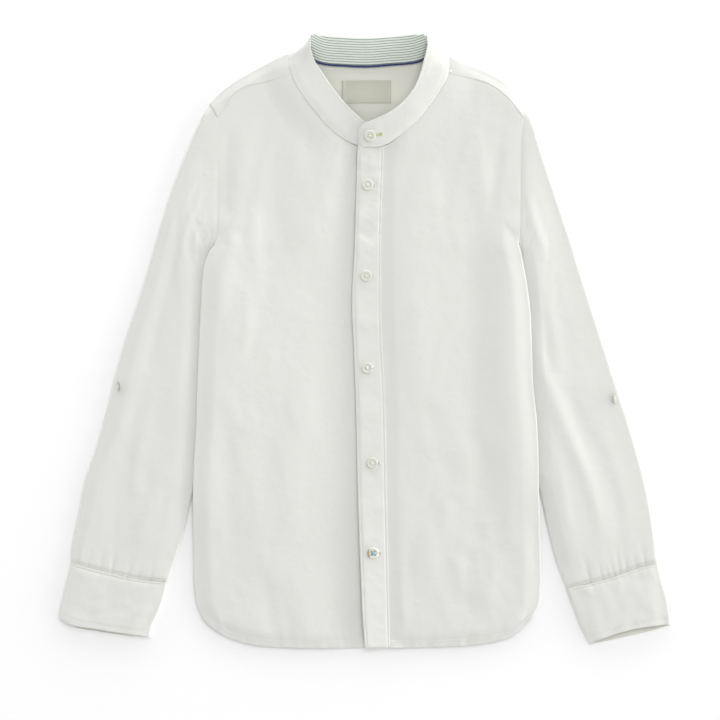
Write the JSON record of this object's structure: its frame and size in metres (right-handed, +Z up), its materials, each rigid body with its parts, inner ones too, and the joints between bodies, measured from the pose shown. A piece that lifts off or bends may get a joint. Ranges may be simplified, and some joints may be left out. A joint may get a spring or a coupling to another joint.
{
  "type": "mandarin collar shirt",
  "caption": "Long-sleeved shirt with a standing band collar, buttoned up and laid flat on its back.",
  "frame": {"origin": "middle of the shirt's outline, on the surface it lies on", "axes": "+Z up out of the surface, +Y towards the collar, +X towards the wearer's left sleeve"},
  "size_m": [0.6144, 0.6132, 0.0155],
  "materials": {
    "white_cloth": "matte, slubbed plain weave",
    "white_cloth_inside": "matte, slubbed plain weave",
    "striped_lining": "matte, fine green and white stripes",
    "blue_piping": "matte",
    "label_cloth": "matte woven",
    "cream_button": "soft gloss",
    "tan_button": "soft gloss"
  },
  "bodies": {
    "root": {"front_right": "white_cloth", "front_left": "white_cloth", "back": "white_cloth_inside", "yoke": "white_cloth_inside", "sleeve_right": "white_cloth", "sleeve_left": "white_cloth", "cuff_right": "white_cloth", "cuff_left": "white_cloth", "placket": "white_cloth", "collar_band_outer": "white_cloth", "collar_band_lining": "striped_lining", "neck_piping": "blue_piping", "label": "label_cloth", "button_1": "cream_button", "button_2": "cream_button", "button_3": "cream_button", "button_4": "cream_button", "button_5": "cream_button", "collar_button": "cream_button", "sleeve_button_right": "tan_button", "sleeve_button_left": "tan_button"}
  },
  "joints": []
}
